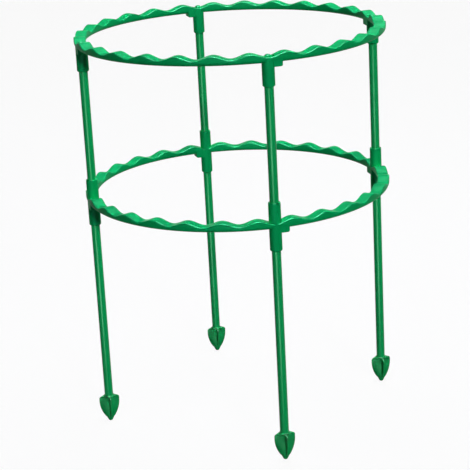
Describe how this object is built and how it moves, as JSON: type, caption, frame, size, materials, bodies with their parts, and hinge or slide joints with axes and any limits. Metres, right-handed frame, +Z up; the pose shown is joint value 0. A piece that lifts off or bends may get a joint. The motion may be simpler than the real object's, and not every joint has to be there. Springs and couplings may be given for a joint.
{
  "type": "plant support",
  "caption": "Round cage for a climbing or top-heavy plant: wavy rings of clip-together arcs, held apart by push-fit rods that stand on ground spikes.",
  "frame": {"origin": "on the ground, in the middle of the four spike tips", "axes": "+Z up along the stakes; -Y towards the front stake, +X towards the right stake"},
  "size_m": [0.2898, 0.2898, 0.367],
  "materials": {
    "arc_plastic": "moulded, semi-gloss green",
    "sleeve_plastic": "extruded, glossy green",
    "spike_plastic": "moulded, satin dark green",
    "steel_tube": "plain drawn tube, hidden inside the sleeves"
  },
  "bodies": {
    "stakes": {"spike_front": "spike_plastic", "spike_right": "spike_plastic", "spike_back": "spike_plastic", "spike_left": "spike_plastic", "lower_sleeve_front": "sleeve_plastic", "lower_sleeve_right": "sleeve_plastic", "lower_sleeve_back": "sleeve_plastic", "lower_sleeve_left": "sleeve_plastic", "lower_steel_tube_front": "steel_tube", "lower_steel_tube_right": "steel_tube", "lower_steel_tube_back": "steel_tube", "lower_steel_tube_left": "steel_tube"},
    "lower_ring": {"lower_arc_back_right": "arc_plastic", "lower_arc_back_left": "arc_plastic", "lower_arc_front_left": "arc_plastic", "lower_arc_front_right": "arc_plastic"},
    "upper_rods": {"upper_sleeve_front": "sleeve_plastic", "upper_sleeve_right": "sleeve_plastic", "upper_sleeve_back": "sleeve_plastic", "upper_sleeve_left": "sleeve_plastic", "upper_steel_tube_front": "steel_tube", "upper_steel_tube_right": "steel_tube", "upper_steel_tube_back": "steel_tube", "upper_steel_tube_left": "steel_tube"},
    "top_ring": {"upper_arc_back_right": "arc_plastic", "upper_arc_back_left": "arc_plastic", "upper_arc_front_left": "arc_plastic", "upper_arc_front_right": "arc_plastic"}
  },
  "joints": [
    {"name": "lower_ring_lift", "type": "slide", "parent": "stakes", "child": "lower_ring", "axis": [0, 0, 1], "range_m": [0, 0.03]},
    {"name": "upper_rods_lift", "type": "slide", "parent": "lower_ring", "child": "upper_rods", "axis": [0, 0, 1], "range_m": [0, 0.03]},
    {"name": "top_ring_lift", "type": "slide", "parent": "upper_rods", "child": "top_ring", "axis": [0, 0, 1], "range_m": [0, 0.03]}
  ]
}
